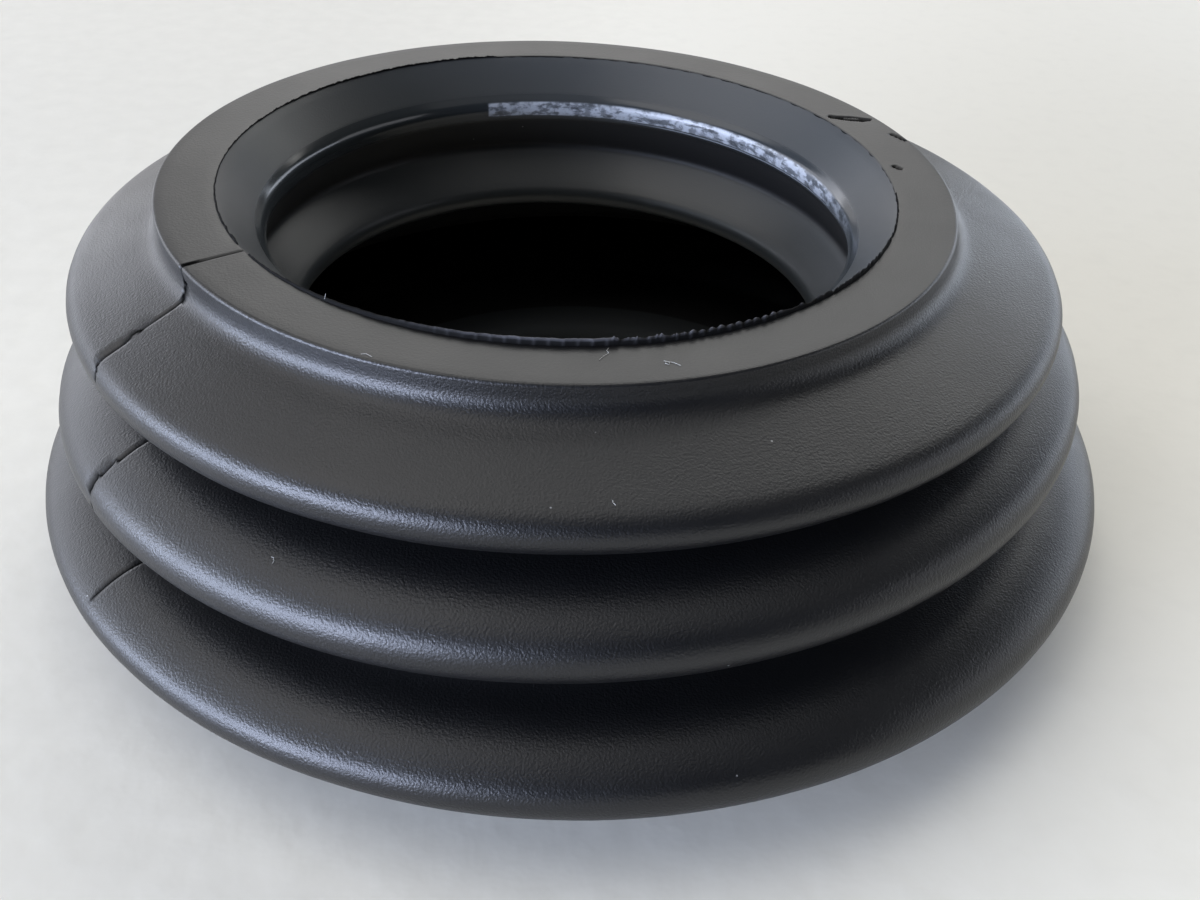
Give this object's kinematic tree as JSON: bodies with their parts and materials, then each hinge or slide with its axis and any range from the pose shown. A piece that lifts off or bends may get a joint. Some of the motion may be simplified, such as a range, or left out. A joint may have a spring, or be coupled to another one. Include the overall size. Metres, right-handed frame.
{
  "type": "motorcycle swingarm bellows",
  "caption": "Round black rubber boot with widening folds, a flat collar with a snap-in cuff, and a wide foot flanged inwards, to seal the gap round a shaft drive.",
  "frame": {"origin": "centre of the foot's flat face, on the boot's axis", "axes": "+Z along the boot's axis, from the wide foot to the narrow collar; the parting line of the outer mould lies at -143 degrees from +X"},
  "size_m": [0.112, 0.112, 0.0375],
  "materials": {
    "rubber": "moulded black rubber, satin with a fine matt grain"
  },
  "bodies": {
    "root": {"bellows": "rubber"}
  },
  "joints": []
}
